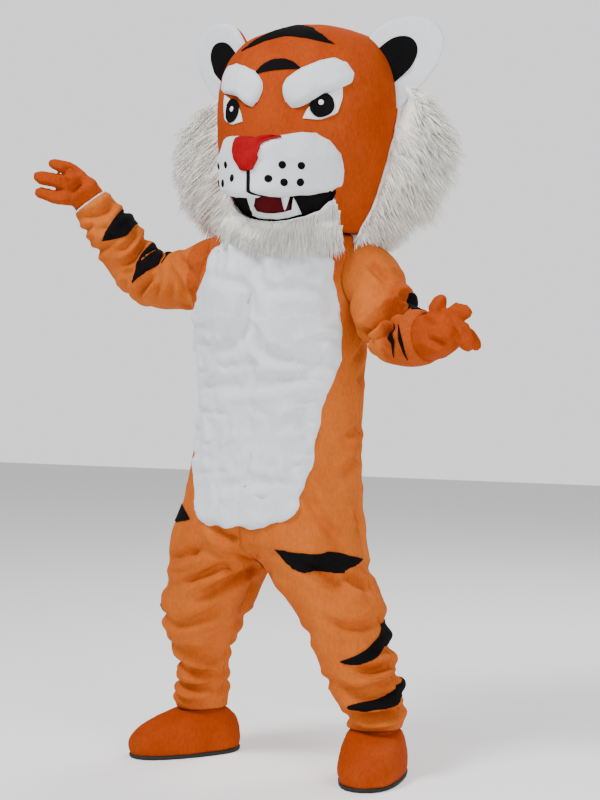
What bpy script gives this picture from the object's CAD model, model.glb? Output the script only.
import math
import random

import bmesh
import bpy
import numpy as np
from mathutils import Matrix, Vector, noise
from mathutils.bvhtree import BVHTree
from mathutils.kdtree import KDTree


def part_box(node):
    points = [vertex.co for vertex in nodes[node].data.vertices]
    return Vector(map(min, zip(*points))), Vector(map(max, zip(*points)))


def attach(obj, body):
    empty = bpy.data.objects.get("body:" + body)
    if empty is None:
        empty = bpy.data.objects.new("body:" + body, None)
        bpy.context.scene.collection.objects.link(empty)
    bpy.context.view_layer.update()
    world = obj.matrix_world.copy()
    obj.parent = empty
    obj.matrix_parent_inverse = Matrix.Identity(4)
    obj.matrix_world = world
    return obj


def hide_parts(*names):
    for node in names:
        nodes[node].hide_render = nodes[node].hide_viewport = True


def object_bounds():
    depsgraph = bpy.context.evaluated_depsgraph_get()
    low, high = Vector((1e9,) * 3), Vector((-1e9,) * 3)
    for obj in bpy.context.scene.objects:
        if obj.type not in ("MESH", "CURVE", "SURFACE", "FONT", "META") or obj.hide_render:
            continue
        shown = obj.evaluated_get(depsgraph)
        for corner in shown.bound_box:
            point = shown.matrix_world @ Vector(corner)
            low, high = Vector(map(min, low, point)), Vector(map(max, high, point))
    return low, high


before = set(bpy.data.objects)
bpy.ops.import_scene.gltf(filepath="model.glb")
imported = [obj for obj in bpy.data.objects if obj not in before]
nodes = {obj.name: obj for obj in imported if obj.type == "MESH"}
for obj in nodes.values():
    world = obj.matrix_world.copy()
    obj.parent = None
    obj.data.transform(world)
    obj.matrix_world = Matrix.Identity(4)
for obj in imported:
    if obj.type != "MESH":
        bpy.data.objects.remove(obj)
cadBox = [[float(value) for value in corner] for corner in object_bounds()]
scene = bpy.context.scene
mountHeight = 1.40       # the origin stands this far above the level that the tables below are measured from
print("costume frame in place:", len(nodes), "nodes")


# camera, floor and light

view = {
    "turn": 28.0,         # degrees round to the tiger's left
    "away": 5.0,
    "height": -0.25,
    "lens": 86.85,
    "shiftAcross": 0.01125,
    "shiftUp": -0.08625,
    "scale": 1930.0,      # picture units across for a metre at one metre
    "middle": (291.0, 331.0),
    "floor": -1.3722,
}


def makeView():
    turn = math.radians(view["turn"])
    data = bpy.data.cameras.new("camera")
    data.lens = view["lens"]
    data.sensor_width = 36
    data.shift_x = view["shiftAcross"]
    data.shift_y = view["shiftUp"]
    camera = bpy.data.objects.new("camera", data)
    camera.location = (view["away"] * math.sin(turn), -view["away"] * math.cos(turn), view["height"])
    camera.rotation_euler = (math.radians(90), 0, turn)
    scene.collection.objects.link(camera)
    scene.camera = camera


studio = {
    "floorColour": (0.93, 0.93, 0.93, 1),
    "floorGlow": 0.30,
    "floorReach": 9.0,
    "skyColour": (1.0, 1.0, 1.0, 1),
    "skyStrength": (0.36, 1.25),     # as light, and as the backdrop that shows
    "lamps": [
        # name, place, aim, size, watts
        ("key", (-1.3, -2.9, 3.7), (0, 0, -0.1), 1.5, 285),
        ("fill", (3.8, -2.4, 1.2), (0, 0, -0.2), 2.2, 125),
        ("rim", (0.6, 3.4, 2.6), (0, 0, 0.1), 2.2, 120),
    ],
}


def makeStudio():
    bm = bmesh.new()
    bmesh.ops.create_grid(bm, x_segments=1, y_segments=1, size=studio["floorReach"],
                          matrix=Matrix.Translation((0, 0, view["floor"])))
    floor = asObject("floor", bm)
    floor.data.materials.append(paper("floorPaper", studio["floorColour"], studio["floorGlow"]))
    world = bpy.data.worlds.new("studio")
    scene.world = world
    world.use_nodes = True
    sky = world.node_tree.nodes["Background"]
    sky.inputs["Color"].default_value = studio["skyColour"]
    seen = addNode(world, "ShaderNodeLightPath").outputs["Is Camera Ray"]
    world.node_tree.links.new(rangeNode(world, seen, 0.0, 1.0, studio["skyStrength"]), sky.inputs["Strength"])
    for name, place, aim, size, watts in studio["lamps"]:
        data = bpy.data.lights.new(name, "AREA")
        data.size = size
        data.energy = watts
        lamp = bpy.data.objects.new(name, data)
        lamp.location = place
        lamp.rotation_euler = (Vector(aim) - Vector(place)).to_track_quat("-Z", "Y").to_euler()
        scene.collection.objects.link(lamp)


# materials

def shaderOf(name, colour, roughness):
    material = bpy.data.materials.new(name)
    material.use_nodes = True
    shader = material.node_tree.nodes["Principled BSDF"]
    shader.inputs["Base Color"].default_value = colour
    shader.inputs["Roughness"].default_value = roughness
    return material, shader


def paper(name, colour, glow):
    material, shader = shaderOf(name, colour, 0.9)
    shader.inputs["Emission Color"].default_value = colour
    shader.inputs["Emission Strength"].default_value = glow
    return material


def addNode(material, kind, **settings):
    node = material.node_tree.nodes.new(kind)
    for key, value in settings.items():
        setattr(node, key, value)
    return node


def noiseNode(material, scale, detail, stretch=(1, 1, 1)):
    tree = material.node_tree
    place = addNode(material, "ShaderNodeTexCoord")
    mapping = addNode(material, "ShaderNodeMapping")
    mapping.inputs["Scale"].default_value = stretch
    texture = addNode(material, "ShaderNodeTexNoise")
    texture.inputs["Scale"].default_value = scale
    texture.inputs["Detail"].default_value = detail
    texture.inputs["Roughness"].default_value = 0.6
    tree.links.new(place.outputs["Object"], mapping.inputs["Vector"])
    tree.links.new(mapping.outputs["Vector"], texture.inputs["Vector"])
    return texture.outputs["Fac"]


def blendNode(material, factor, first, second):
    tree = material.node_tree
    mix = addNode(material, "ShaderNodeMix", data_type="RGBA")
    for socket, value in (("Factor", factor), ("A", first), ("B", second)):
        if isinstance(value, (tuple, float)):
            mix.inputs[socket].default_value = value
        else:
            tree.links.new(value, mix.inputs[socket])
    return mix.outputs["Result"]


def rangeNode(material, value, low, high, out=(0.0, 1.0)):
    node = addNode(material, "ShaderNodeMapRange")
    node.inputs["From Min"].default_value = low
    node.inputs["From Max"].default_value = high
    node.inputs["To Min"].default_value = out[0]
    node.inputs["To Max"].default_value = out[1]
    material.node_tree.links.new(value, node.inputs["Value"])
    return node.outputs["Result"]


def bumpNode(material, shader, layers):
    # each layer: height, strength, distance
    tree = material.node_tree
    last = None
    for height, strength, distance in layers:
        bump = addNode(material, "ShaderNodeBump")
        bump.inputs["Strength"].default_value = strength
        bump.inputs["Distance"].default_value = distance
        tree.links.new(height, bump.inputs["Height"])
        if last:
            tree.links.new(last, bump.inputs["Normal"])
        last = bump.outputs["Normal"]
    tree.links.new(last, shader.inputs["Normal"])


plushKinds = {
    # name: colour, shaded colour, lit colour, sheen, nap size
    "suitPlush": ((0.52, 0.115, 0.014, 1), (0.35, 0.055, 0.005, 1), (0.66, 0.180, 0.030, 1), 0.05, 1.0),
    "sleevePlush": ((0.52, 0.115, 0.014, 1), (0.35, 0.055, 0.005, 1), (0.66, 0.180, 0.030, 1), 0.05, 1.0),
    "headPlush": ((0.36, 0.046, 0.005, 1), (0.25, 0.022, 0.002, 1), (0.47, 0.082, 0.010, 1), 0.04, 1.0),
    "whitePlush": ((0.72, 0.75, 0.79, 1), (0.58, 0.62, 0.67, 1), (0.82, 0.845, 0.87, 1), 0.15, 1.0),
    "blackPlush": ((0.0035, 0.003, 0.0035, 1), (0.002, 0.002, 0.002, 1), (0.008, 0.007, 0.008, 1), 0.02, 1.0),
    "redPlush": ((0.30, 0.003, 0.007, 1), (0.20, 0.002, 0.004, 1), (0.40, 0.007, 0.012, 1), 0.02, 0.8),
    "darkRedFelt": ((0.075, 0.003, 0.006, 1), (0.045, 0.002, 0.004, 1), (0.110, 0.006, 0.010, 1), 0.04, 0.6),
    "whiteFelt": ((0.76, 0.77, 0.77, 1), (0.66, 0.67, 0.68, 1), (0.82, 0.83, 0.83, 1), 0.15, 0.6),
    "backing": ((0.40, 0.36, 0.31, 1), (0.32, 0.28, 0.24, 1), (0.46, 0.42, 0.37, 1), 0.05, 0.5),
}
shoulders = {
    "colour": (0.36, 0.050, 0.006, 1),
    "share": 0.30,
    "rise": (-0.165, -0.085),        # heights where the redder cloth of the shoulders begins and is full
    "rightSeam": (-0.266, -0.262),   # inside this the right sleeve's cap is shoulder cloth
    "rightSide": (0.0, 0.01),        # and it ends here, short of the left sleeve
    "gauntlet": (0.318, 0.332),      # the left forearm is the glove's redder cloth beyond this
}
weave = {
    "roughness": 0.88,
    "sheenRoughness": 0.45,
    "specular": 0.06,
    "brushed": 9.0,       # scales of the three noises
    "pile": 170.0,
    "fine": 620.0,
    "patches": 0.34,      # how much of the brushed patches and of the tufts shows
    "tufts": 0.26,
}


def plush(name):
    colour, shaded, lit, sheen, nap = plushKinds[name]
    material, shader = shaderOf(name, colour, weave["roughness"])
    shader.inputs["Sheen Weight"].default_value = sheen
    shader.inputs["Sheen Roughness"].default_value = weave["sheenRoughness"]
    shader.inputs["Sheen Tint"].default_value = lit
    shader.inputs["Specular IOR Level"].default_value = weave["specular"]
    brushed = noiseNode(material, weave["brushed"], 5.0, (1.0, 1.0, 0.55))
    pile = noiseNode(material, weave["pile"] / nap, 3.0, (1.0, 1.0, 0.42))
    fine = noiseNode(material, weave["fine"] / nap, 2.0)
    patchy = blendNode(material, rangeNode(material, brushed, 0.36, 0.66), shaded, lit)
    base = blendNode(material, weave["patches"], colour, patchy)
    tufts = blendNode(material, rangeNode(material, pile, 0.30, 0.72), shaded, lit)
    base = blendNode(material, weave["tufts"], base, tufts)
    if name in ("suitPlush", "sleevePlush"):
        place = addNode(material, "ShaderNodeTexCoord")
        split = addNode(material, "ShaderNodeSeparateXYZ")
        links = material.node_tree.links
        links.new(place.outputs["Object"], split.inputs["Vector"])
        redder = blendNode(material, shoulders["share"], shoulders["colour"], tufts)
    if name == "suitPlush":
        base = blendNode(material, rangeNode(material, split.outputs["Z"], *shoulders["rise"]), base, redder)
    if name == "sleevePlush":
        across = split.outputs["X"]
        base = blendNode(material, rangeNode(material, across, *shoulders["gauntlet"]), base, redder)
        cap = addNode(material, "ShaderNodeMath", operation="MULTIPLY")
        links.new(rangeNode(material, across, *shoulders["rightSeam"]), cap.inputs[0])
        links.new(rangeNode(material, across, *shoulders["rightSide"], (1.0, 0.0)), cap.inputs[1])
        base = blendNode(material, cap.outputs["Value"], base, redder)
    material.node_tree.links.new(base, shader.inputs["Base Color"])
    bumpNode(material, shader, [(fine, 0.25, 0.0006), (pile, 0.42, 0.0020 * nap), (brushed, 0.20, 0.006)])
    return material


furColours = {
    "root": (0.94, 0.91, 0.84, 1),
    "tip": (1.0, 0.985, 0.93, 1),
    "warm": (0.98, 0.95, 0.87, 1),
}


def furMaterial():
    material, shader = shaderOf("longFur", furColours["tip"], 0.62)
    shader.inputs["Sheen Weight"].default_value = 0.25
    shader.inputs["Sheen Roughness"].default_value = 0.4
    along = addNode(material, "ShaderNodeAttribute", attribute_name="along")
    strands = noiseNode(material, 240.0, 2.0, (1.0, 1.0, 0.25))
    clumps = noiseNode(material, 26.0, 3.0)
    base = blendNode(material, along.outputs["Fac"], furColours["root"], furColours["tip"])
    base = blendNode(material, rangeNode(material, clumps, 0.50, 0.80, (0.0, 0.55)), base, furColours["warm"])
    material.node_tree.links.new(base, shader.inputs["Base Color"])
    bumpNode(material, shader, [(strands, 0.3, 0.0010)])
    return material


def hardMaterial(name, colour, roughness, metallic, scale):
    material, shader = shaderOf(name, colour, roughness)
    shader.inputs["Metallic"].default_value = metallic
    grain = noiseNode(material, scale, 4.0)
    worn = tuple(min(1.0, value * 1.35 + 0.01) for value in colour[:3]) + (1.0,)
    base = blendNode(material, rangeNode(material, grain, 0.45, 0.75), colour, worn)
    material.node_tree.links.new(base, shader.inputs["Base Color"])
    material.node_tree.links.new(rangeNode(material, grain, 0.2, 0.8, (roughness * 0.8, roughness * 1.2)),
                                 shader.inputs["Roughness"])
    bumpNode(material, shader, [(grain, 0.15, 0.0004)])
    return material


finishes = {name: plush(name) for name in plushKinds}
finishes["longFur"] = furMaterial()
finishes["soleRubber"] = hardMaterial("soleRubber", (0.006, 0.006, 0.006, 1), 0.8, 0.0, 120.0)
finishes["zipMetal"] = hardMaterial("zipMetal", (0.56, 0.55, 0.53, 1), 0.32, 1.0, 300.0)
finishes["glint"] = hardMaterial("glint", (0.72, 0.74, 0.78, 1), 0.15, 0.0, 90.0)
print("finishes mixed:", len(finishes))


# shared helpers

tolerances = {
    "loose": 0.00001,
    "seam": 0.0008,
    "wall": 0.0036,       # an edge no longer than this crosses the cloth's thickness
    "sleeveWall": 0.0075,
    "scrap": 0.0004,      # a skin of less area than this is dropped
    "rimReach": 0.16,     # open edges this near to a sleeve's end belong to its rim
    "rimAngle": 50,       # degrees; a thin piece's edge that is bent further is its rim
    "fitStep": 0.9,       # share of the gap that each fit of a rounded form closes
}


def asObject(name, bm):
    mesh = bpy.data.meshes.new(name)
    bm.to_mesh(mesh)
    bm.free()
    obj = bpy.data.objects.new(name, mesh)
    scene.collection.objects.link(obj)
    return obj


def baked(obj):
    graph = bpy.context.evaluated_depsgraph_get()
    mesh = bpy.data.meshes.new_from_object(obj.evaluated_get(graph))
    obj.modifiers.clear()
    obj.data = mesh
    return obj


def readPoints(mesh, what="co"):
    flat = np.empty(len(mesh.vertices) * 3, np.float32)
    mesh.vertices.foreach_get(what, flat)
    return flat.reshape(-1, 3).astype(np.float64)


def surfaceOf(obj):
    return readPoints(obj.data), readPoints(obj.data, "normal")


def setPoints(obj, points):
    obj.data.vertices.foreach_set("co", points.astype(np.float32).ravel())
    obj.data.update()


def copyOf(node):
    bm = bmesh.new()
    bm.from_mesh(nodes[node].data)
    bmesh.ops.remove_doubles(bm, verts=bm.verts, dist=tolerances["loose"])
    return bm


def islands(bm):
    left = set(bm.faces)
    groups = []
    while left:
        first = left.pop()
        group = [first]
        waiting = [first]
        while waiting:
            face = waiting.pop()
            for edge in face.edges:
                for other in edge.link_faces:
                    if other in left:
                        left.discard(other)
                        group.append(other)
                        waiting.append(other)
        groups.append(group)
    return groups


def dropThin(bm, wall):
    thin = [face for face in bm.faces if min(edge.calc_length() for edge in face.edges) < wall]
    bmesh.ops.delete(bm, geom=thin, context="FACES")


def keepOuter(bm, centreAt):
    gone = []
    for group in islands(bm):
        facing = 0.0
        area = 0.0
        for face in group:
            middle = face.calc_center_median()
            size = face.calc_area()
            facing += size * face.normal.dot((middle - centreAt(middle)).normalized())
            area += size
        if facing < 0 or area < tolerances["scrap"]:
            gone.extend(group)
    bmesh.ops.delete(bm, geom=gone, context="FACES")


def oneWay(bm, centreAt):
    bmesh.ops.recalc_face_normals(bm, faces=bm.faces)
    facing = 0.0
    for face in bm.faces:
        middle = face.calc_center_median()
        facing += face.calc_area() * face.normal.dot(middle - centreAt(middle))
    if facing < 0:
        bmesh.ops.reverse_faces(bm, faces=bm.faces)


def turnedIn(bm, at, inward, shrink):
    rim = [edge for edge in bm.edges
           if edge.is_boundary and (edge.verts[0].co - at).length < tolerances["rimReach"]]
    middle = Vector((0, 0, 0))
    for edge in rim:
        middle += (edge.verts[0].co + edge.verts[1].co) / (2 * len(rim))
    made = bmesh.ops.extrude_edge_only(bm, edges=rim)["geom"]
    for vert in made:
        if isinstance(vert, bmesh.types.BMVert):
            vert.co = middle + (vert.co - middle) * shrink + inward


def quads(bm):
    bmesh.ops.join_triangles(bm, faces=bm.faces, angle_face_threshold=math.radians(40),
                             angle_shape_threshold=math.radians(50), cmp_materials=True)


def splitLong(bm, longest):
    long = [edge for edge in bm.edges if edge.calc_length() > longest]
    bmesh.ops.subdivide_edges(bm, edges=long, cuts=1, use_grid_fill=True)


def markSharp(bm, angle):
    layer = bm.edges.layers.float.get("crease_edge") or bm.edges.layers.float.new("crease_edge")
    for edge in bm.edges:
        if len(edge.link_faces) == 2 and edge.calc_face_angle() > math.radians(angle):
            edge[layer] = 1.0


def rounded(obj, levels, fits):
    wanted = readPoints(obj.data)
    modifier = obj.modifiers.new("rounded", "SUBSURF")
    modifier.levels = 1
    modifier.render_levels = 1
    # the control points move out until the round surface runs through the first ones
    for turn in range(fits):
        graph = bpy.context.evaluated_depsgraph_get()
        seen = readPoints(obj.evaluated_get(graph).data)[:len(wanted)]
        setPoints(obj, readPoints(obj.data) + (wanted - seen) * tolerances["fitStep"])
    modifier.levels = levels
    modifier.render_levels = levels
    return baked(obj)


def evened(obj, factor, times):
    modifier = obj.modifiers.new("even", "SMOOTH")
    modifier.factor = factor
    modifier.iterations = times
    return baked(obj)


def smoothShade(obj, angle=50):
    obj.data.shade_smooth()
    obj.data.set_sharp_from_angle(angle=math.radians(angle))


def treeOf(objects):
    bm = bmesh.new()
    for obj in objects:
        bm.from_mesh(obj.data)
    tree = BVHTree.FromBMesh(bm)
    bm.free()
    return tree


def finishPiece(obj, finish, replaced, inner=None):
    obj.data.materials.clear()
    obj.data.materials.append(finishes[finish])
    if inner:
        obj.data.materials.append(finishes[inner])
    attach(obj, "costume")
    if replaced:
        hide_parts(*replaced)
    return obj


def softNoise(points, size, seed):
    values = np.empty(len(points))
    for index, point in enumerate(points):
        values[index] = noise.noise(Vector((point[0] * size + seed, point[1] * size, point[2] * size)))
    return values


def uneven(points, layers):
    # each layer: size, seed, depth
    return sum(softNoise(points, size, seed) * depth for size, seed, depth in layers)


# folds: each is a soft trough drawn as a line in the picture's frame, with a ridge beside it

foldShape = {
    "steps": 5,           # points of the smooth line for each one drawn
    "reach": 3.6,         # widths to either side that a fold moves
    "fade": 0.28,         # share of its length over which each end runs out
    "unit": 0.001,        # metres of depth for one in the tables
    "ringUnit": 0.0014,
}


def seenAt(points):
    turn = math.radians(view["turn"])
    across = points[:, 0] * math.cos(turn) + points[:, 1] * math.sin(turn)
    towards = points[:, 0] * math.sin(turn) - points[:, 1] * math.cos(turn)
    away = view["away"] - towards
    left = view["middle"][0] + view["scale"] * across / away
    down = view["middle"][1] + view["scale"] * (view["height"] - points[:, 2]) / away
    return left, down


def curvedLine(line):
    line = [np.array(point, float) for point in line]
    ends = [2 * line[0] - line[1]] + line + [2 * line[-1] - line[-2]]
    result = []
    for index in range(1, len(ends) - 2):
        a, b, c, d = ends[index - 1:index + 3]
        for step in range(foldShape["steps"]):
            t = step / foldShape["steps"]
            result.append(0.5 * (2 * b + (c - a) * t + (2 * a - 5 * b + 4 * c - d) * t * t
                                 + (3 * b - a - 3 * c + d) * t ** 3))
    result.append(line[-1])
    return result


def foldHeight(left, down, line, depth, width, ridge):
    line = curvedLine(line)
    height = np.zeros(len(left))
    xs = [point[0] for point in line]
    ys = [point[1] for point in line]
    reach = width * foldShape["reach"]
    close = np.flatnonzero((left > min(xs) - reach) & (left < max(xs) + reach)
                           & (down > min(ys) - reach) & (down < max(ys) + reach))
    if not len(close):
        return height
    px = left[close]
    py = down[close]
    best = np.full(len(close), 1e9)
    along = np.zeros(len(close))
    side = np.ones(len(close))
    for index in range(len(line) - 1):
        ax, ay = line[index]
        dx, dy = line[index + 1] - line[index]
        t = np.clip(((px - ax) * dx + (py - ay) * dy) / (dx * dx + dy * dy + 1e-9), 0, 1)
        ex = px - ax - t * dx
        ey = py - ay - t * dy
        squared = ex * ex + ey * ey
        nearer = squared < best
        best[nearer] = squared[nearer]
        along[nearer] = (index + t[nearer]) / (len(line) - 1)
        side[nearer] = np.sign(dx * ey - dy * ex)[nearer]
    s = np.sqrt(best) / width
    run = foldShape["fade"]
    fade = np.clip(along / run, 0.12, 1) * np.clip((1 - along) / run, 0.12, 1)
    swell = np.where(side * ridge > 0, 0.62, 0.22) if ridge else 0.38
    shape = -np.exp(-s * s) + swell * np.exp(-((s - 1.75) / 0.95) ** 2)
    height[close] = depth * fade * shape
    return height


def foldCloth(points, normals, lines, strength):
    left, down = seenAt(points)
    turn = math.radians(view["turn"])
    facing = normals[:, 0] * math.sin(turn) - normals[:, 1] * math.cos(turn)
    shown = np.clip((facing + 0.10) / 0.45, 0, 1)
    hidden = np.clip((-facing + 0.10) / 0.45, 0, 1)
    height = np.zeros(len(points))
    for front, depth, width, ridge, line in lines:
        trough = foldHeight(left, down, line, depth * foldShape["unit"] * strength, width, ridge)
        height += trough * (shown if front else hidden)
    return height


def ringFolds(points, axis, rings):
    axis = [Vector(point) for point in axis]
    lengths = [0.0]
    for first, second in zip(axis, axis[1:]):
        lengths.append(lengths[-1] + (second - first).length)
    height = np.zeros(len(points))
    best = np.full(len(points), 1e9)
    along = np.zeros(len(points))
    angle = np.zeros(len(points))
    turn = math.radians(view["turn"])
    viewer = np.array([math.sin(turn), -math.cos(turn), 0.0])
    for index in range(len(axis) - 1):
        start = np.array(axis[index])
        run = np.array(axis[index + 1]) - start
        t = np.clip((points - start) @ run / (run @ run), 0, 1)
        arm = points - start - t[:, None] * run
        squared = (arm * arm).sum(axis=1)
        toward = viewer - run * (viewer @ run) / (run @ run)
        toward = toward / np.linalg.norm(toward)
        aside = np.cross(run / np.linalg.norm(run), toward)
        nearer = squared < best
        best[nearer] = squared[nearer]
        along[nearer] = (lengths[index] + t * (lengths[index + 1] - lengths[index]))[nearer]
        angle[nearer] = np.arctan2(arm @ aside, arm @ toward)[nearer]
    for place, tilt, tiltTo, depth, width, centre, spread in rings:
        s = (along - place - tilt * np.cos(angle - math.radians(tiltTo))) / width
        apart = np.abs((angle - math.radians(centre) + math.pi) % (2 * math.pi) - math.pi)
        window = np.exp(-(apart / math.radians(spread)) ** 4)
        profile = -np.exp(-s * s) + 0.55 * np.exp(-((np.abs(s) - 1.7) / 0.9) ** 2)
        height += depth * foldShape["ringUnit"] * window * profile
    return height


# the jumpsuit's four panels

trunk = [(-0.036, 0, 0.87), (-0.028, 0, 1.07), (-0.020, 0, 1.26)]
limbs = {
    "head": [(0.038, 0.02, 1.38), (0.038, 0.02, 1.92)],
    "trunk": trunk,
    "legLeft": [(0.242, -0.002, 0.08), (0.242, -0.002, 0.15), (0.214, -0.012, 0.272),
                (0.184, -0.014, 0.345), (0.135, -0.006, 0.455), (0.084, 0, 0.527), (0.018, 0, 0.60),
                (-0.022, 0, 0.645), (-0.046, 0, 0.70)] + trunk,
    "legRight": [(-0.290, 0.040, 0.08), (-0.290, 0.040, 0.15), (-0.270, 0.010, 0.272),
                 (-0.266, -0.004, 0.345), (-0.236, -0.010, 0.455), (-0.214, 0, 0.527),
                 (-0.158, 0, 0.60), (-0.110, 0, 0.645), (-0.066, 0, 0.70)] + trunk,
    "armLeft": [(0.225, 0.0, 1.280), (0.270, -0.030, 1.226), (0.313, -0.058, 1.160),
                (0.341, -0.070, 1.141), (0.372, -0.082, 1.134), (0.402, -0.093, 1.133),
                (0.440, -0.106, 1.136), (0.560, -0.140, 1.150)],
    "armRight": [(-0.230, 0.0, 1.293), (-0.318, 0.008, 1.287), (-0.390, 0.018, 1.283),
                 (-0.440, 0.022, 1.293), (-0.472, 0.018, 1.316), (-0.519, -0.011, 1.390),
                 (-0.563, -0.041, 1.462), (-0.583, -0.054, 1.494), (-0.650, -0.090, 1.570)],
}
limbs = {name: [(x, y, z - mountHeight) for x, y, z in line] for name, line in limbs.items()}


def nearestOn(axis, point):
    best = None
    for first, second in zip(axis, axis[1:]):
        first = Vector(first)
        run = Vector(second) - first
        t = min(1.0, max(0.0, (point - first).dot(run) / run.length_squared))
        place = first + run * t
        gap = (point - place).length
        if best is None or gap < best[0]:
            best = (gap, place)
    return best[1]


suit = {
    "panels": ["front_left", "front_right", "back_left", "back_right"],
    "levels": 3,
    "longest": 0.068,
    "wall": 0.0025,
    "seamDip": 0.0022,
    "seamReach": 0.007,
    "cut": (0.42, 1.36, 0.42),       # flat width, flat length and cut area of each panel, in metres
    "foldDepth": 2.4,
    "legTop": 0.56,
    "seamLine": ([0.15, 0.53, 0.70, 1.3], [-0.03, -0.065, -0.056, -0.02]),
    "uneven": [(7.0, 3.0, 0.0035), (22.0, 9.0, 0.0016)],
    # seen from the front (1) or on the far side (0), depth in mm, width, side of its ridge, line
    "folds": [
        (1, 9, 5, 1, [(208, 521), (224, 537), (241, 539)]),
        (1, 10, 5, -1, [(192, 601), (216, 588), (241, 574), (263, 566)]),
        (1, 7, 4, 1, [(171, 588), (202, 576), (232, 562)]),
        (1, 7, 6, 1, [(177, 649), (198, 653), (220, 651)]),
        (1, 8, 9, -1, [(267, 568), (253, 596), (235, 627)]),
        (1, 6, 5, 1, [(166, 560), (184, 556), (206, 548)]),
        (1, 7, 5, 1, [(168, 626), (190, 622), (214, 612), (232, 598)]),
        (1, 8, 4, -1, [(180, 668), (200, 673), (222, 669)]),
        (1, 7, 4, 1, [(176, 686), (197, 689), (218, 684)]),
        (1, 6, 6, 1, [(306, 486), (314, 506), (330, 529), (345, 547)]),
        (1, 7, 6, 1, [(300, 560), (317, 574), (334, 584), (350, 588)]),
        (1, 9, 5, 1, [(343, 572), (359, 584), (373, 592)]),
        (1, 6, 5, -1, [(318, 616), (340, 626), (362, 626), (380, 618)]),
        (1, 10, 5, 1, [(351, 670), (375, 670), (396, 660)]),
        (1, 11, 5, -1, [(332, 684), (355, 692), (381, 686), (401, 676)]),
        (1, 8, 4, 1, [(339, 694), (355, 699), (383, 694), (402, 684)]),
        (1, 9, 4, 1, [(347, 709), (367, 717), (388, 715), (404, 706)]),
        (1, 6, 4, 0, [(361, 506), (358, 521), (360, 541)]),
        (1, 5, 4, 1, [(366, 452), (352, 463), (340, 478)]),
        (1, 5, 4, -1, [(368, 418), (356, 430), (344, 436)]),
        (1, 4, 5, 1, [(188, 440), (182, 470), (180, 500)]),
        (1, 5, 4, 1, [(372, 330), (364, 348), (354, 362)]),
        (1, 5, 4, -1, [(374, 350), (366, 372), (356, 388)]),
        (1, 5, 5, 1, [(196, 236), (204, 262), (206, 282)]),
        (1, 4, 5, -1, [(188, 300), (190, 330), (188, 360)]),
        (0, 10, 6, 1, [(186, 470), (214, 486), (246, 492), (268, 488)]),
        (0, 9, 6, -1, [(370, 466), (344, 486), (312, 494), (286, 490)]),
        (0, 7, 7, 1, [(196, 380), (232, 392), (272, 394), (300, 386)]),
        (0, 7, 6, -1, [(362, 376), (334, 394), (302, 404)]),
        (0, 6, 6, 1, [(210, 300), (238, 318), (262, 322)]),
        (0, 6, 6, 1, [(352, 296), (330, 318), (300, 330)]),
        (0, 8, 5, 1, [(172, 588), (196, 600), (226, 592)]),
        (0, 8, 5, -1, [(170, 622), (196, 630), (224, 618)]),
        (0, 7, 5, 1, [(178, 660), (200, 668), (224, 662)]),
        (0, 9, 5, 1, [(316, 600), (344, 612), (380, 600)]),
        (0, 8, 5, -1, [(322, 640), (352, 652), (390, 640)]),
        (0, 9, 5, 1, [(334, 676), (364, 688), (400, 674)]),
        (0, 8, 4, -1, [(344, 700), (370, 710), (404, 698)]),
        (0, 6, 8, 1, [(288, 250), (280, 300), (282, 350)]),
    ],
    # height up the leg's axis, tilt, tilt direction, depth in mm, width in m, middle angle, spread
    "ringsLeft": [(0.100, 0.010, 60, 7, 0.011, 80, 100), (0.140, 0.014, -40, 8, 0.012, 100, 80),
                  (0.182, 0.012, 30, 9, 0.013, 95, 85), (0.232, 0.016, 90, 7, 0.014, 100, 70),
                  (0.300, 0.012, 60, 5, 0.017, 100, 70), (0.420, 0.014, 80, 5, 0.018, 95, 60),
                  (0.120, 0.010, 100, 6, 0.011, -110, 60), (0.210, 0.010, -90, 6, 0.013, -110, 60),
                  (0.330, 0.012, -90, 5, 0.016, -110, 60)],
    "ringsRight": [(0.105, 0.008, -60, 6, 0.010, -85, 70), (0.146, 0.010, 40, 8, 0.011, -95, 80),
                   (0.196, 0.012, -30, 8, 0.012, -90, 75), (0.246, 0.014, -90, 6, 0.014, -95, 70),
                   (0.300, 0.012, -60, 6, 0.014, -95, 60), (0.372, 0.012, -90, 5, 0.017, -95, 60),
                   (0.135, 0.010, 90, 6, 0.011, 90, 60), (0.225, 0.012, 90, 6, 0.013, 95, 60),
                   (0.330, 0.012, 90, 5, 0.016, 100, 60)],
}


def legSide(points):
    # the left leg and the left half of the trunk lie on this side of the crotch seam
    return points[:, 0] > np.interp(points[:, 2] + mountHeight, *suit["seamLine"])


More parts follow.
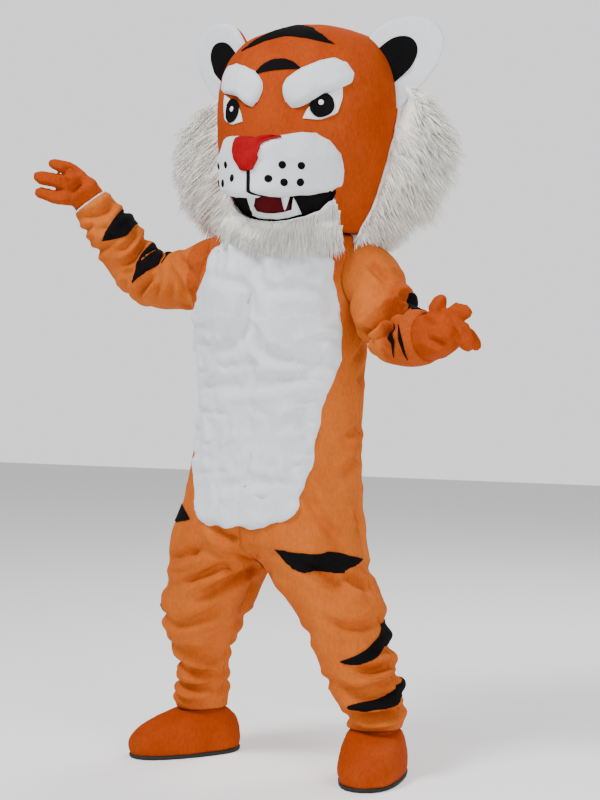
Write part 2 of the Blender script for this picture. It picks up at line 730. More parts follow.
def makeSuit():
    bm = bmesh.new()
    for number, node in enumerate(suit["panels"]):
        part = copyOf(node)
        dropThin(part, tolerances["wall"])
        axis = limbs["legLeft"] if node.endswith("left") else limbs["legRight"]
        keepOuter(part, lambda middle: nearestOn(axis, middle))
        for face in part.faces:
            face.material_index = number
        mesh = bpy.data.meshes.new("part")
        part.to_mesh(mesh)
        part.free()
        bm.from_mesh(mesh)
    bmesh.ops.remove_doubles(bm, verts=bm.verts, dist=tolerances["seam"])
    quads(bm)
    splitLong(bm, suit["longest"])
    oneWay(bm, lambda middle: nearestOn(limbs["trunk"], middle))
    skin = rounded(asObject("suitSkin", bm), suit["levels"], 3)
    points, normals = surfaceOf(skin)
    height = foldCloth(points, normals, suit["folds"], suit["foldDepth"])
    leftSide = legSide(points)
    for side, limb, rings in ((leftSide, "legLeft", "ringsLeft"), (~leftSide, "legRight", "ringsRight")):
        low = side & (points[:, 2] < suit["legTop"] - mountHeight)
        height[low] += ringFolds(points[low], limbs[limb], suit[rings])
    height += uneven(points, suit["uneven"])
    height += seamDips(skin, points)
    setPoints(skin, raiseShoulders(points + normals * height[:, None]))
    skinTree = treeOf([skin])
    for number, node in enumerate(suit["panels"]):
        panel = panelOf(skin, number, node)
        finishPiece(panel, "suitPlush", [node], inner="backing")
    bpy.data.objects.remove(skin)
    print("jumpsuit panels cut and folded")
    return skinTree


def seamDips(skin, points):
    owners = [set() for point in points]
    for face in skin.data.polygons:
        for index in face.vertices:
            owners[index].add(face.material_index)
    seam = [index for index, kinds in enumerate(owners) if len(kinds) > 1]
    tree = KDTree(len(seam))
    for index in seam:
        tree.insert(points[index], index)
    tree.balance()
    dips = np.zeros(len(points))
    for index, point in enumerate(points):
        gap = tree.find(point)[2] / suit["seamReach"]
        if gap < 3:
            pucker = 0.75 + 0.5 * math.sin(point[2] * 210) * math.sin(point[2] * 37 + 1)
            dips[index] = -suit["seamDip"] * pucker * math.exp(-gap * gap)
    return dips


shoulderLifts = [
    # middle, how far it reaches, how far the cloth is carried
    ((-0.215, -0.05, 1.340), 0.070, (0.004, -0.004, 0.026)),
    ((0.215, -0.02, 1.330), 0.060, (-0.002, -0.004, 0.012)),
]


def raiseShoulders(points):
    moved = points.copy()
    for middle, reach, carried in shoulderLifts:
        middle = np.array(middle) - (0, 0, mountHeight)
        near = np.exp(-((points - middle) ** 2).sum(axis=1) / reach ** 2)
        moved += near[:, None] * np.array(carried)
    return moved


def panelOf(skin, number, name):
    bm = bmesh.new()
    bm.from_mesh(skin.data)
    others = [face for face in bm.faces if face.material_index != number]
    bmesh.ops.delete(bm, geom=others, context="FACES")
    for face in bm.faces:
        face.material_index = 0
    panel = asObject(name + "_cloth", bm)
    return thickened(panel, suit["wall"])


def thickened(obj, wall):
    modifier = obj.modifiers.new("wall", "SOLIDIFY")
    modifier.thickness = wall
    modifier.offset = -1
    modifier.material_offset = 1
    obj.data.materials.append(finishes["suitPlush"])
    obj.data.materials.append(finishes["backing"])
    baked(obj)
    obj.data.shade_smooth()
    return obj


# sleeves

sleeves = {
    "levels": 3,
    "longest": 0.052,
    "wall": 0.0022,
    "uneven": [(9.0, 5.0, 0.003), (26.0, 2.0, 0.0014)],
    # two thin stripes cut from one shape: moved along, moved up, slant, how narrow
    "thinStripes": [(0.0, 0.0, -0.04, 0.55), (0.026, -0.004, 0.24, 0.55)],
    "cuts": {"sleeve_left": (0.51, 0.36, 0.155), "sleeve_right": (0.51, 0.48, 0.215)},
    "sleeve_right": {
        "limb": "armRight",
        "depth": 2.1,
        # each end's middle, how far its rim is turned in, and the share of its width left
        "turned": [((-0.245, 0.0, 1.290), (0.016, 0, 0.002), 0.93),
                   ((-0.583, -0.054, 1.494), (0.001, 0.001, -0.002), 0.90)],
        "folds": [
            (1, 9, 4.5, 1, [(76, 218), (91, 216), (107, 208), (114, 199)]),
            (1, 7, 4, 1, [(81, 228), (91, 227), (102, 220), (112, 211), (122, 202)]),
            (1, 6, 3.5, 1, [(91, 234), (102, 229), (109, 225)]),
            (1, 8, 4, -1, [(140, 228), (135, 237), (125, 248), (109, 252)]),
            (1, 11, 4.5, -1, [(149, 238), (142, 248), (131, 260), (118, 268)]),
            (1, 7, 4, 1, [(139, 261), (132, 270), (121, 275)]),
            (1, 11, 4.5, 1, [(158, 262), (150, 278), (140, 290), (135, 296)]),
            (1, 7, 4, 1, [(162, 265), (158, 283), (153, 304)]),
            (1, 6, 4, -1, [(167, 262), (170, 284), (175, 308)]),
            (1, 6, 4, -1, [(169, 262), (179, 284), (191, 302)]),
            (1, 6, 4, -1, [(175, 255), (184, 269), (195, 282)]),
            (1, 5, 4, 1, [(96, 192), (104, 190), (112, 182)]),
            (0, 9, 5, 1, [(150, 240), (144, 256), (132, 272)]),
            (0, 8, 5, -1, [(164, 254), (162, 274), (156, 296)]),
            (0, 7, 5, 1, [(178, 258), (184, 276), (186, 300)]),
            (0, 7, 5, 1, [(84, 226), (100, 224), (118, 208)]),
        ],
        "rings": [(0.085, 0.020, 90, 5, 0.014, -90, 60), (0.150, 0.020, -90, 6, 0.013, 90, 60),
                  (0.205, 0.016, 90, 9, 0.012, 90, 70), (0.235, 0.012, 0, 8, 0.011, -90, 50),
                  (0.300, 0.014, 90, 7, 0.012, 90, 80), (0.350, 0.012, -90, 7, 0.011, -90, 90),
                  (0.395, 0.010, 60, 7, 0.010, 90, 90), (0.425, 0.008, 20, 5, 0.009, -90, 90)],
    },
    "sleeve_left": {
        "limb": "armLeft",
        "depth": 3.0,
        "turned": [((0.235, 0.0, 1.270), (-0.014, 0.004, 0.006), 0.93),
                   ((0.430, -0.103, 1.135), (0.003, 0, 0), 0.80)],
        "folds": [
            (1, 5, 3.5, 1, [(408, 297), (403, 297), (398, 299)]),
            (1, 11, 4.5, 1, [(412, 306), (400, 307), (386, 314), (376, 322), (369, 331), (367, 334)]),
            (1, 5, 3.5, -1, [(407, 312), (395, 314), (386, 321)]),
            (1, 8, 4, 1, [(395, 323), (385, 328), (378, 336), (376, 342)]),
            (1, 6, 3.5, -1, [(394, 326), (386, 334), (381, 342)]),
            (1, 8, 4, 1, [(357, 326), (364, 334), (371, 346)]),
            (1, 6, 5, 1, [(366, 262), (378, 272), (392, 286)]),
            (0, 8, 5, 1, [(412, 312), (394, 316), (378, 332)]),
            (0, 7, 5, -1, [(396, 296), (384, 304), (372, 320)]),
            (0, 6, 5, 1, [(418, 330), (410, 344), (404, 352)]),
        ],
        "rings": [(0.075, 0.012, 90, 5, 0.014, -90, 60), (0.120, 0.014, -90, 8, 0.012, -90, 60),
                  (0.150, 0.010, 90, 7, 0.011, 90, 70), (0.190, 0.010, -40, 5, 0.011, 180, 80),
                  (0.215, 0.008, 60, 5, 0.010, -90, 80)],
    },
}


def makeSleeve(node):
    plan = sleeves[node]
    axis = limbs[plan["limb"]]
    bm = copyOf(node)
    dropThin(bm, tolerances["sleeveWall"])
    keepOuter(bm, lambda middle: nearestOn(axis, middle))
    quads(bm)
    splitLong(bm, sleeves["longest"])
    for place, inward, shrink in plan["turned"]:
        turnedIn(bm, Vector(place) - Vector((0, 0, mountHeight)), Vector(inward), shrink)
    oneWay(bm, lambda middle: nearestOn(axis, middle))
    sleeve = rounded(asObject(node + "_cloth", bm), sleeves["levels"], 3)
    points, normals = surfaceOf(sleeve)
    height = foldCloth(points, normals, plan["folds"], plan["depth"]) + ringFolds(points, axis, plan["rings"])
    height += uneven(points, sleeves["uneven"])
    setPoints(sleeve, raiseShoulders(points + normals * height[:, None]))
    skinTree = treeOf([sleeve])
    thickened(sleeve, sleeves["wall"])
    finishPiece(sleeve, "sleevePlush", [node], inner="backing")
    print("sleeve folded:", node)
    return skinTree


# stripes and other thin pieces, laid on the folded cloth

patchPlan = {
    "edge": 0.0055,
    "evenings": 8,
    "low": 0.0003,        # heights of its back and its face over the cloth
    "high": 0.0028,
    "reach": 0.030,
}


def fineFaces(bm, longest):
    for turn in range(6):
        long = [edge for edge in bm.edges if edge.calc_length() > longest]
        if not long:
            break
        bmesh.ops.subdivide_edges(bm, edges=long, cuts=1)
        bmesh.ops.triangulate(bm, faces=[face for face in bm.faces if len(face.verts) > 3])


def rimEdges(bm):
    return [edge for edge in bm.edges if len(edge.link_faces) == 2
            and edge.calc_face_angle() > math.radians(tolerances["rimAngle"])]


def evenRim(bm, turns):
    sharp = {}
    for edge in rimEdges(bm):
        for vert in edge.verts:
            sharp.setdefault(vert, []).append(edge.other_vert(vert))
    for turn in range(turns):
        moved = {}
        for vert, beside in sharp.items():
            if len(beside) == 2:
                moved[vert] = vert.co * 0.5 + (beside[0].co + beside[1].co) * 0.25
        for vert, place in moved.items():
            vert.co = place


def laidOn(point, cadTree, skinTree, axis, slip):
    # the nearest place on the solids, the way out there, and what lies over it on the folded cloth
    place, normal = cadTree.find_nearest(point)[:2]
    if normal.dot(place - nearestOn(axis, place)) < 0:
        normal = -normal
    place = place + slip
    reach = patchPlan["reach"]
    hit, hitNormal = skinTree.ray_cast(place + normal * reach, -normal, reach * 2)[:2]
    if hit is None:
        hit, hitNormal = skinTree.find_nearest(place)[:2]
    return place, normal, hit, hitNormal


def seat(obj, cadTree, skinTree, axis, thin):
    points, normals = surfaceOf(obj)
    for index, co in enumerate(points):
        point = Vector(co)
        place, normal, hit, hitNormal = laidOn(point, cadTree, skinTree, axis, Vector())
        if hitNormal.dot(normal) < 0:
            hitNormal = -hitNormal
        if thin:
            under = normal.dot(Vector(normals[index])) < 0
            points[index] = hit + hitNormal * (patchPlan["low"] if under else patchPlan["high"])
        else:
            points[index] = point + (hit - place)
    setPoints(obj, points)


def cadTreeOf(names):
    bm = bmesh.new()
    for name in names:
        bm.from_mesh(nodes[name].data)
    bmesh.ops.remove_doubles(bm, verts=bm.verts, dist=tolerances["loose"])
    tree = BVHTree.FromBMesh(bm)
    bm.free()
    return tree


def makePatch(node, finish, cadTree, skinTree, axis, edge=None, slide=None):
    bm = copyOf(node)
    if slide:
        along, up, slant, narrow = slide
        middle = sum((vert.co for vert in bm.verts), Vector()) / len(bm.verts)
        for vert in bm.verts:
            narrower = (vert.co.x - middle.x) * (narrow - 1)
            vert.co += Vector((narrower + along - (vert.co.z - middle.z) * slant, 0, up))
    bmesh.ops.triangulate(bm, faces=bm.faces)
    fineFaces(bm, edge or patchPlan["edge"])
    evenRim(bm, patchPlan["evenings"])
    second = bool(slide) and slide[0] > 0
    patch = asObject(node + ("_second" if second else "_patch"), bm)
    seat(patch, cadTree, skinTree, axis, True)
    smoothShade(patch)
    finishPiece(patch, finish, [] if second else [node])
    return patch


# rounded solids of the head and feet

def makeSoft(node, finish, levels=2, sharp=55, seatOn=None, swell=0.0006, name=None, fits=3):
    bm = copyOf(node)
    quads(bm)
    markSharp(bm, sharp)
    soft = rounded(asObject(name or node + "_form", bm), levels, fits)
    if seatOn:
        seat(soft, *seatOn, False)
    if swell:
        points, normals = surfaceOf(soft)
        height = uneven(points, [(26.0, 4.0, swell * 2), (60.0, 7.0, swell)])
        setPoints(soft, points + normals * height[:, None])
    smoothShade(soft)
    finishPiece(soft, finish, [node])
    return soft


def tucked(obj, tree, axis, gap):
    points = readPoints(obj.data)
    for index, co in enumerate(points):
        point = Vector(co)
        middle = nearestOn(axis, point)
        out = point - middle
        hit = tree.ray_cast(middle, out.normalized())[0]
        if hit and (hit - middle).length - gap < out.length:
            points[index] = middle + out.normalized() * ((hit - middle).length - gap)
    setPoints(obj, points)


belly = {
    "edge": 0.009,
    "scallops": 0.016,
    "thick": 0.008,       # padding over the belly, without the two chest pads
    "round": 0.010,       # how fast it rises from its edge
    "puff": 1.25,
    "lift": 0.0006,       # least height of its face over the cloth
    "sunk": 0.0010,       # depth of its back in the cloth
    "flatEdge": 0.012,    # its folds fade out this near to its edge
    "evenings": 14,
    "uneven": [(12.0, 8.0, 0.0035), (30.0, 3.0, 0.0015)],
    "foldDepth": 1.5,
    "folds": [
        (1, 8, 6, 0, [(200, 283), (221, 279), (249, 287), (253, 302), (249, 326), (237, 346), (221, 350),
                      (200, 342)]),
        (1, 8, 6, 0, [(270, 297), (278, 291), (302, 288), (329, 298), (340, 312)]),
        (1, 9, 6, 0, [(341, 345), (331, 361), (302, 362), (270, 355), (262, 342), (262, 318), (270, 297)]),
        (1, 10, 6, 0, [(249, 238), (258, 261), (266, 281), (275, 299)]),
        (1, 8, 5, 0, [(282, 261), (280, 275), (275, 299)]),
        (1, 7, 6, 0, [(323, 265), (314, 273), (306, 279)]),
        (1, 5, 4, 1, [(217, 246), (219, 262), (218, 279)]),
        (1, 5, 4, -1, [(228, 236), (229, 258), (227, 279)]),
        (1, 5, 4, 1, [(243, 232), (240, 252), (241, 271)]),
        (1, 8, 7, 1, [(202, 389), (231, 387), (272, 383), (309, 374), (321, 370)]),
        (1, 5, 5, 1, [(302, 361), (308, 368), (311, 375)]),
        (1, 5, 5, -1, [(268, 356), (256, 366), (251, 375), (252, 385)]),
        (1, 6, 6, 1, [(300, 400), (303, 417), (306, 434), (314, 449)]),
        (1, 5, 5, 1, [(290, 451), (293, 465), (302, 485)]),
        (1, 7, 6, 1, [(213, 491), (237, 485), (268, 483), (278, 489)]),
        (1, 4, 9, 1, [(226, 404), (222, 434), (226, 462)]),
        (1, 4, 8, -1, [(262, 402), (268, 432), (262, 466)]),
    ],
    "puckers": {
        # places on the panel's two side edges where a short fold starts inwards
        "left": [(193, 302), (193, 324), (198, 346), (201, 369), (204, 389), (201, 410), (196, 434),
                 (195, 453), (202, 475)],
        "right": [(341, 289), (341, 322), (341, 341), (341, 363), (331, 383), (321, 398), (323, 424),
                  (314, 451), (304, 485)],
    },
}


def makeBelly(cadTree, skinTree):
    bm = copyOf("belly_panel")
    bmesh.ops.triangulate(bm, faces=bm.faces)
    fineFaces(bm, belly["edge"])
    evenRim(bm, belly["evenings"])
    panel = asObject("belly_pad", bm)
    points, normals = surfaceOf(panel)
    hits = []
    gaps = []
    wavy = np.stack([softNoise(points, 24.0, 21.0), np.zeros(len(points)), softNoise(points, 24.0, 33.0)], 1)
    for index, co in enumerate(points):
        point = Vector(co)
        slip = Vector(wavy[index] * belly["scallops"])
        place, normal, hit = laidOn(point, cadTree, skinTree, limbs["trunk"], slip)[:3]
        hits.append(hit[:])
        gaps.append((point - place).length if normal.dot(Vector(normals[index])) > -0.2 else 0.0)
        normals[index] = normal
    hits = np.array(hits)
    gaps = np.array(gaps)
    edges = rimPoints(panel)
    away = np.array([edges.find(Vector(co))[2] for co in points])
    padding = belly["thick"] * (1 - np.exp(-away / belly["round"]))
    outer = gaps > 0.0
    raised = np.maximum(gaps - belly["thick"], 0.0) * belly["puff"] + padding + belly["lift"]
    top = np.where(outer, raised, -belly["sunk"])
    height = foldCloth(hits, normals, belly["folds"] + pucker(), belly["foldDepth"])
    height += uneven(hits, belly["uneven"])
    height *= outer * np.clip(away / belly["flatEdge"], 0.15, 1)
    lowest = np.where(outer, belly["sunk"], -belly["sunk"])
    setPoints(panel, hits + normals * np.maximum(top + height, lowest)[:, None])
    evened(panel, 0.4, 2)
    panel.data.shade_smooth()
    finishPiece(panel, "whitePlush", ["belly_panel"])
    print("belly panel puffed:", len(panel.data.polygons), "faces")
    return panel


def rimPoints(panel):
    bm = bmesh.new()
    bm.from_mesh(panel.data)
    sharp = rimEdges(bm)
    tree = KDTree(len(sharp))
    for index, edge in enumerate(sharp):
        tree.insert(edge.verts[0].co, index)
    tree.balance()
    bm.free()
    return tree


def pucker():
    lines = []
    for side, edge in belly["puckers"].items():
        for index, (left, down) in enumerate(edge):
            reach = (14 + 9 * (index % 3)) * (1 if side == "left" else -1)
            fall = 5 * (index % 2) - 2
            line = [(left - reach * 0.2, down), (left + reach * 0.4, down + fall),
                    (left + reach, down + fall * 1.6)]
            lines.append((1, 4.0 + 1.5 * (index % 2), 2.8, 0, line))
    return lines


gloves = {
    "voxel": 0.0044,
    "wall": 0.0022,
    "cuffDepth": 0.002,   # faces this near to the cuff's end close it, and are taken out
    "trim": 0.004,
    "swell": 0.0008,
    "foldDepth": 1.7,
    "uneven": [(30.0, 6.0, 0.0020)],
    "glove_right": {
        "cuff": ((-0.578, -0.050, 1.486), (-0.590, -0.060, 1.508)),
        "folds": [(1, 5, 3, 1, [(86, 179), (78, 184), (70, 192)]), (1, 4, 3, 1, [(60, 168), (68, 172), (76, 172)]),
                  (0, 5, 4, 1, [(84, 176), (76, 186), (70, 194)])],
    },
    "glove_left": {
        "cuff": ((0.412, -0.096, 1.134), (0.440, -0.107, 1.136)),
        "folds": [(1, 7, 3.5, 1, [(426, 337), (436, 342), (447, 346)]),
                  (1, 5, 3.5, -1, [(445, 316), (452, 328), (458, 342)]),
                  (1, 4, 3, 1, [(420, 316), (430, 322), (438, 324)]),
                  (0, 5, 4, 1, [(424, 326), (438, 334), (450, 344)])],
    },
}


def makeGlove(node):
    plan = gloves[node]
    start, further = [Vector((x, y, z - mountHeight)) for x, y, z in plan["cuff"]]
    along = (further - start).normalized()
    bm = copyOf(node)
    nearest = min((vert.co - start).dot(along) for vert in bm.verts)
    rimEnd = nearest + gloves["cuffDepth"]
    rim = [face for face in bm.faces if all((vert.co - start).dot(along) < rimEnd for vert in face.verts)]
    bmesh.ops.delete(bm, geom=rim, context="FACES")
    groups = islands(bm)

    def spanOf(group):
        xs = [vert.co.x for face in group for vert in face.verts]
        zs = [vert.co.z for face in group for vert in face.verts]
        return max(xs) - min(xs) + max(zs) - min(zs)

    groups.sort(key=spanOf, reverse=True)
    bmesh.ops.delete(bm, geom=[face for group in groups[1:] for face in group], context="FACES")
    bmesh.ops.holes_fill(bm, edges=[edge for edge in bm.edges if edge.is_boundary], sides=0)
    bmesh.ops.recalc_face_normals(bm, faces=bm.faces)
    glove = asObject(node + "_cloth", bm)
    remesh = glove.modifiers.new("remesh", "REMESH")
    remesh.mode = "VOXEL"
    remesh.voxel_size = gloves["voxel"]
    evened(glove, 0.5, 5)
    points, normals = surfaceOf(glove)
    height = foldCloth(points, normals, plan["folds"], gloves["foldDepth"])
    height = height + uneven(points, gloves["uneven"]) + gloves["swell"]
    setPoints(glove, points + normals * height[:, None])
    bm = bmesh.new()
    bm.from_mesh(glove.data)
    bmesh.ops.bisect_plane(bm, geom=list(bm.verts) + list(bm.edges) + list(bm.faces),
                           plane_co=start + along * (nearest + gloves["trim"]), plane_no=along,
                           clear_inner=True)
    bm.to_mesh(glove.data)
    bm.free()
    thickened(glove, gloves["wall"])
    finishPiece(glove, "headPlush", [node], inner="backing")
    return glove


# long fur: one lock shape, bent and copied over the cheeks and chin

fur = {
    "segments": 4,
    "cheek": {"count": 5400, "length": (0.044, 0.074), "width": (0.0019, 0.0032), "shortest": 0.50},
    "chin": {"count": 4000, "length": (0.030, 0.064), "width": (0.0018, 0.0029), "shortest": 0.70},
    "lip": {"count": 1500, "length": (0.020, 0.040), "width": (0.0014, 0.0023), "shortest": 1.0},
    "droop": 0.36,
    "upright": 0.42,      # how much of the surface's own direction a lock keeps
    "clumping": 0.26,
    "sunk": 0.004,        # depth of its root in the cloth
    "taper": 0.65,
    "flat": 0.55,
    "past": 0.016,        # how far the locks may stand out behind the solids
    "shortBelow": 0.13,   # towards the bottom of each piece the locks are shorter
    "headMiddle": (0.038, 0.020, 1.60),
}


def lockShape():
    bm = bmesh.new()
    bmesh.ops.create_cone(bm, cap_ends=True, segments=3, radius1=1.0, radius2=0.0, depth=1.0,
                          matrix=Matrix.Translation((0, 0, 0.5)))
    bmesh.ops.remove_doubles(bm, verts=bm.verts, dist=0.001)
    sides = [edge for edge in bm.edges if abs(edge.verts[0].co.z - edge.verts[1].co.z) > 0.5]
    bmesh.ops.subdivide_edges(bm, edges=sides, cuts=fur["segments"] - 1)
    bm.verts.index_update()
    points = np.array([vert.co[:] for vert in bm.verts])
    faces = [[vert.index for vert in face.verts] for face in bm.faces]
    bm.free()
    return points, faces


def furOver(name, node, plan, skin, seed, downward):
    pick = random.Random(seed)
    shape, faces = lockShape()
    mesh = skin.data
    middle = Vector(fur["headMiddle"]) - Vector((0, 0, mountHeight))
    polygons = list(mesh.polygons)
    areas = np.array([face.area for face in polygons])
    sums = np.cumsum(areas)
    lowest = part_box(node)[0][2]
    allPoints = []
    shares = []
    made = 0
    while made < plan["count"]:
        face = polygons[min(int(np.searchsorted(sums, pick.random() * sums[-1])), len(polygons) - 1)]
        corners = [mesh.vertices[index].co for index in face.vertices]
        u, v = pick.random(), pick.random()
        if u + v > 1:
            u, v = 1 - u, 1 - v
        second = corners[1 + pick.randrange(len(corners) - 2)]
        third = corners[corners.index(second) + 1]
        root = corners[0] + (second - corners[0]) * u + (third - corners[0]) * v
        outward = root - middle
        outward.z *= 0.35
        outward.normalize()
        if face.normal.dot(outward) < -0.55:
            continue
        made += 1
        spot = root * 22
        clump = Vector((noise.noise(spot), noise.noise(spot + Vector((9, 0, 0))),
                        noise.noise(spot + Vector((0, 9, 0)))))
        direction = face.normal * fur["upright"] + outward * (1.0 - downward)
        direction = direction + Vector((0, 0, -downward)) + clump * fur["clumping"]
        direction.normalize()
        length = pick.uniform(*plan["length"]) * (0.9 + 0.35 * noise.noise(root * 20))
        length *= plan["shortest"] + (1 - plan["shortest"]) * min(1.0, (root.z - lowest) / fur["shortBelow"])
        if direction.y > 0:
            length = min(length, max(0.010, (cadBox[1][1] + fur["past"] - root.y) / direction.y))
        width = pick.uniform(*plan["width"])
        side = direction.orthogonal().normalized()
        side = Matrix.Rotation(pick.random() * 6.283, 3, direction) @ side
        other = direction.cross(side)
        t = shape[:, 2]
        # a lock narrows to its tip and hangs over under its own weight
        radius = width * (1 - t) ** fur["taper"]
        base = np.array(root - face.normal * fur["sunk"])
        line = base + np.outer(t * length, np.array(direction))
        line[:, 2] -= fur["droop"] * length * t * t
        ring = np.hypot(shape[:, 0], shape[:, 1])
        safe = np.where(ring > 1e-6, ring, 1)
        line += np.outer(shape[:, 0] / safe * radius * (ring > 1e-6), np.array(side))
        line += np.outer(shape[:, 1] / safe * radius * fur["flat"] * (ring > 1e-6), np.array(other))
        allPoints.append(line)
        shares.append(t)
    points = np.concatenate(allPoints)
    size = len(shape)
    joined = [[index + size * lock for index in face] for lock in range(made) for face in faces]
    mesh = bpy.data.meshes.new(name)
    mesh.from_pydata(points.tolist(), [], joined)
    attribute = mesh.attributes.new("along", "FLOAT", "POINT")
    attribute.data.foreach_set("value", np.concatenate(shares).astype(np.float32))
    mesh.shade_smooth()
    obj = bpy.data.objects.new(name, mesh)
    scene.collection.objects.link(obj)
    finishPiece(obj, "longFur", [])
    print("fur laid:", name, made, "locks")
    return obj


def makeUnderfur(node):
    bm = copyOf(node)
    quads(bm)
    under = rounded(asObject(node + "_root", bm), 2, 1)
    points, normals = surfaceOf(under)
    setPoints(under, points - normals * 0.001)
    attribute = under.data.attributes.new("along", "FLOAT", "POINT")
    attribute.data.foreach_set("value", np.full(len(points), 0.6, np.float32))
    smoothShade(under, 80)
    finishPiece(under, "longFur", [node])
    return under


mouthPaint = {
    # outlines in the photograph's own frame: fur cloth below the lip, dark cloth at the mouth's corner
    "whitePlush": [(221, 192), (229, 193), (234, 204), (243, 212), (262, 217), (281, 218), (300, 215), (316, 209),
                   (331, 200), (336, 199), (341, 222), (341, 262), (230, 262), (215, 235)],
    "blackPlush": [(329, 184), (335, 187), (336, 196), (332, 201), (326, 203), (322, 195)],
}


def within(outline, left, down):
    inside = np.zeros(len(left), bool)
    for first, second in zip(outline, outline[1:] + outline[:1]):
        crosses = (first[1] > down) != (second[1] > down)
        reach = first[0] + (down - first[1]) * (second[0] - first[0]) / (second[1] - first[1] + 1e-9)
        inside ^= crosses & (left < reach)
    return inside


def paintMouth(head):
    middles = np.array([face.center for face in head.data.polygons])
    facing = np.array([face.normal.y < 0.35 and face.center.y < -0.02 for face in head.data.polygons])
    left, down = seenAt(middles)
    for number, (finish, outline) in enumerate(mouthPaint.items(), 1):
        head.data.materials.append(finishes[finish])
        for index in np.flatnonzero(within(outline, left, down) & facing):
            head.data.polygons[int(index)].material_index = number


def standProud(obj, tree, gap, ahead):
    # carried out along one line, far enough to lie on the outside of the other piece
    points, normals = surfaceOf(obj)
    ahead = Vector(ahead).normalized()
    for index, co in enumerate(points):
        hit = tree.ray_cast(Vector(co) + ahead * 0.5, -ahead)[0]
        lift = gap if ahead.dot(Vector(normals[index])) > 0 else gap * 0.2
        if hit:
            short = (hit - Vector(co)).dot(ahead) + lift
            if short > 0:
                points[index] = Vector(co) + ahead * short
    setPoints(obj, points)


def scaledAbout(obj, scale, about):
    points = readPoints(obj.data)
    about = np.array(about) - (0, 0, mountHeight)
    setPoints(obj, about + (points - about) * np.array(scale))


# small things on the face

faceBits = {
    "middle": 0.038,
    "dotSize": 0.0102,
    "ahead": (0.40, -0.91, -0.05),   # the way in which the nose is carried out
    "noseProud": 0.007,
    "noseScale": (0.84, 1, 1.08),
    "noseFrom": (-0.022, 0, 1.710),
    "dots": [(0.078, 1.556), (0.114, 1.555), (0.050, 1.522), (0.081, 1.513), (0.112, 1.514), (-0.084, 1.562),
             (-0.128, 1.564), (-0.054, 1.527), (-0.100, 1.518), (-0.138, 1.522)],
    "glintSize": 0.0070,
}


def addButton(bm, hit, normal, radius, flat, sides):
    turn = normal.to_track_quat("Z", "Y").to_matrix().to_4x4()
    bmesh.ops.create_uvsphere(bm, u_segments=sides, v_segments=8, radius=radius,
                              matrix=Matrix.Translation(hit) @ turn @ Matrix.Diagonal((1, 1, flat, 1)))


def makeDots(muzzle):
    tree = treeOf([muzzle])
    bm = bmesh.new()
    for x, z in faceBits["dots"]:
        start = Vector((faceBits["middle"] + x, -0.6, z - mountHeight))
        hit, normal = tree.ray_cast(start, Vector((0, 1, 0)))[:2]
        if hit is None:
            continue
        addButton(bm, hit, normal, faceBits["dotSize"], 0.28, 14)
    dots = asObject("whisker_dots", bm)
    dots.data.shade_smooth()
    finishPiece(dots, "blackPlush", [])


def makeGlint(side, pupil):
    middle = readPoints(pupil.data).mean(axis=0)
    tree = treeOf([pupil])
    hit, normal = tree.ray_cast(Vector((middle[0], -0.6, middle[2])), Vector((0, 1, 0)))[:2]
    bm = bmesh.new()
    addButton(bm, hit, normal, faceBits["glintSize"], 0.25, 16)
    glint = asObject("glint_" + side, bm)
    glint.data.shade_smooth()
    finishPiece(glint, "glint", [])


zipPlan = {
    "pitch": 0.0030,
    "tooth": (0.0042, 0.0016, 0.0016),
    "apart": 0.0016,      # how far the teeth of each row stand from the middle
    "ends": (0.006, 0.004),
    # heights up the back, and where the tape's middle is across
    "line": ([0.74, 0.87, 1.07, 1.18, 1.28, 1.375], [-0.050, -0.036, -0.028, -0.029, -0.020, -0.003]),
}


def makeZipTeeth():
    tree = cadTreeOf(["zip_tape"])
    low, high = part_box("zip_tape")
    bm = bmesh.new()
    tooth = Matrix.Diagonal((*zipPlan["tooth"], 1))
    z = low[2] + zipPlan["ends"][0]
    number = 0
    while z < high[2] - zipPlan["ends"][1]:
        x = np.interp(z + mountHeight, *zipPlan["line"])
        side = 1 if number % 2 else -1
        hit = tree.ray_cast(Vector((x + side * zipPlan["apart"], 0.6, z)), Vector((0, -1, 0)))[0]
        if hit:
            bmesh.ops.create_cube(bm, size=1.0, matrix=Matrix.Translation(hit) @ tooth)
        z += zipPlan["pitch"] / 2
        number += 1
    teeth = asObject("zip_teeth", bm)
    finishPiece(teeth, "zipMetal", [])


# putting it together

makeView()
makeStudio()
suitTree = makeSuit()
sleeveTrees = {node: makeSleeve(node) for node in ("sleeve_left", "sleeve_right")}
suitCad = cadTreeOf(suit["panels"])
for node in ("stripe_thigh_left", "stripe_knee_left", "stripe_shin_left", "stripe_hip_right", "stripe_calf_right"):
    makePatch(node, "blackPlush", suitCad, suitTree, limbs["legLeft" if "left" in node else "legRight"])
for side, names in (("right", ("stripe_upper_right", "stripe_elbow_right", "stripe_forearm_right")),
                    ("left", ("stripe_forearm_left", "stripe_wrist_left", "stripe_inner_left"))):
    cad = cadTreeOf(["sleeve_" + side])
    axis = limbs[sleeves["sleeve_" + side]["limb"]]
    for node in names:
        if node != "stripe_forearm_left":
            makePatch(node, "blackPlush", cad, sleeveTrees["sleeve_" + side], axis)
            continue
        for slide in sleeves["thinStripes"]:
            makePatch(node, "blackPlush", cad, sleeveTrees["sleeve_left"], axis, None, slide)
print("stripes laid on the folded cloth")
makeBelly(suitCad, suitTree)
for node in ("glove_left", "glove_right"):
    makeGlove(node)
cuff = makeSoft("cuff_lining_right", "whitePlush", sharp=50)
tucked(cuff, sleeveTrees["sleeve_right"], limbs["armRight"], 0.004)
print("gloves made")

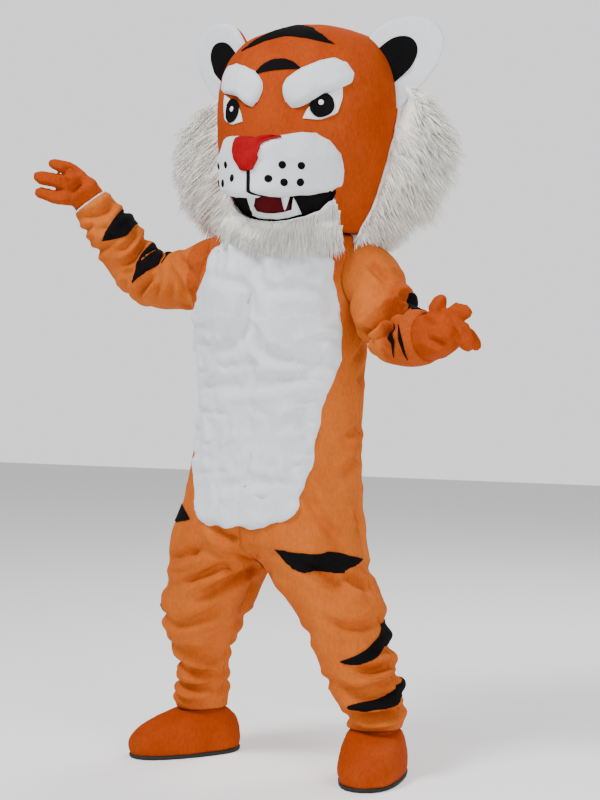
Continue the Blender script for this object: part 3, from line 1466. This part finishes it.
headShell = makeSoft("head_shell", "headPlush", name="head_cloth")
headTree = treeOf([headShell])
headCad = cadTreeOf(["head_shell"])
onHead = (headCad, headTree, limbs["head"])
paintMouth(headShell)
for side in ("left", "right"):
    makeSoft("brow_" + side, "whitePlush", sharp=80, seatOn=onHead, swell=0.0008, fits=0)
    makePatch("eye_" + side, "whiteFelt", *onHead, 0.006)
    makeSoft("ear_" + side, "whitePlush", sharp=70, swell=0.0008, fits=1)
    makeSoft("ear_back_" + side, "headPlush", sharp=70, fits=1)
    makeSoft("ear_inner_" + side, "blackPlush", levels=3, sharp=70, swell=0.0, fits=1)
    pupil = makeSoft("pupil_" + side, "blackPlush", sharp=70, seatOn=onHead, swell=0.0)
    makeGlint(side, pupil)
for node in ("stripe_brow", "stripe_forehead"):
    makePatch(node, "blackPlush", *onHead)
muzzle = makeSoft("muzzle", "whitePlush", sharp=75, seatOn=onHead, swell=0.0007)
nose = makeSoft("nose", "redPlush", sharp=80, seatOn=onHead, swell=0.0005)
scaledAbout(nose, faceBits["noseScale"], faceBits["noseFrom"])
standProud(nose, treeOf([muzzle]), faceBits["noseProud"], faceBits["ahead"])
evened(nose, 0.5, 2)
makeSoft("muzzle_line", "blackPlush", sharp=80, seatOn=onHead, swell=0.0)
makeDots(muzzle)
for node, finish in (("mouth_lining", "blackPlush"), ("tongue", "darkRedFelt"), ("teeth_lower", "whiteFelt"),
                     ("lip_piping", "whiteFelt"), ("fang_left", "whiteFelt"), ("fang_right", "whiteFelt")):
    makeSoft(node, finish, sharp=60, swell=0.0)
print("head dressed")

for node, kind, seed, downward in (("cheek_fur_left", "cheek", 11, 0.42),
                                   ("cheek_fur_right", "cheek", 12, 0.42), ("chin_fur", "chin", 13, 0.72)):
    furOver(node + "_locks", node, fur[kind], makeUnderfur(node), seed, downward)

bm = bmesh.new()
bm.from_mesh(headShell.data)
unpainted = [face for face in bm.faces if face.material_index != 1]
bmesh.ops.delete(bm, geom=unpainted, context="FACES")
underLip = asObject("under_lip", bm)
furOver("under_lip_locks", "chin_fur", fur["lip"], underLip, 17, 0.85)
bpy.data.objects.remove(underLip)

for side in ("left", "right"):
    makeSoft("foot_" + side + "_upper", "headPlush", sharp=60, swell=0.0008)
    makeSoft("foot_" + side + "_sole", "soleRubber", levels=1, sharp=50, swell=0.0)
for node, finish in (("zip_tape", "suitPlush"), ("zip_slider", "zipMetal"), ("zip_pull_tab", "zipMetal")):
    nodes[node].data.materials.clear()
    nodes[node].data.materials.append(finishes[finish])
makeZipTeeth()
print("feet and zip finished")
